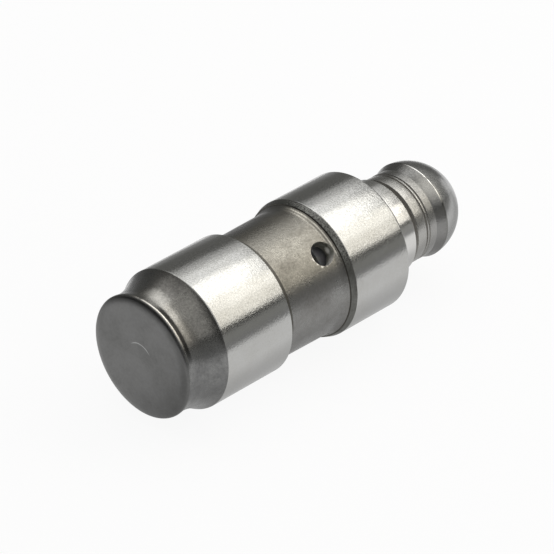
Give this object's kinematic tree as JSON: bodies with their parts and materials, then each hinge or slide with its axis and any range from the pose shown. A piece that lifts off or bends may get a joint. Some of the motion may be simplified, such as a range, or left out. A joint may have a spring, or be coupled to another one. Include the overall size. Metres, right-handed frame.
{
  "type": "hydraulic tappet",
  "caption": "Hydraulic pivot tappet: a ground steel body with an oil groove and feed hole, and a sprung plunger inside whose ball head carries the finger follower.",
  "frame": {"origin": "centre of the flat closed end of the body, where it stands", "axes": "+Z along the body's axis from the closed end to the ball head; -Y towards the oil feed hole; +X completes the right hand"},
  "size_m": [0.012, 0.012, 0.0349],
  "materials": {
    "body_steel": "ground lands, dark as-formed recess, flare and end",
    "pin_steel": "ground and polished",
    "plunger_steel": "ground",
    "ball_steel": "polished",
    "sheet_steel": "pressed",
    "spring_steel": "drawn wire"
  },
  "bodies": {
    "body": {"housing": "body_steel", "retaining_ring": "spring_steel", "plunger_spring": "spring_steel"},
    "valve_carrier": {"lower_plunger": "plunger_steel", "ball_cage": "sheet_steel", "check_ball_spring": "spring_steel"},
    "ball_pin": {"upper_plunger": "pin_steel"},
    "valve_ball": {"check_ball": "ball_steel"}
  },
  "joints": [
    {"name": "plunger_slide", "type": "slide", "parent": "body", "child": "valve_carrier", "axis": [0, 0, 1], "range_m": [-0.0028, 0], "stiffness_N_per_m": 1560, "springref_m": 0.003, "deforming": ["plunger_spring"]},
    {"name": "head_turn", "type": "hinge", "parent": "valve_carrier", "child": "ball_pin", "pos_m": [0, 0, 0.01648], "axis": [0, 0, 1], "continuous": true},
    {"name": "ball_lift", "type": "slide", "parent": "valve_carrier", "child": "valve_ball", "axis": [0, 0, 1], "range_m": [-0.00025, 0], "stiffness_N_per_m": 300, "springref_m": 0.0002, "deforming": ["check_ball_spring"]}
  ]
}
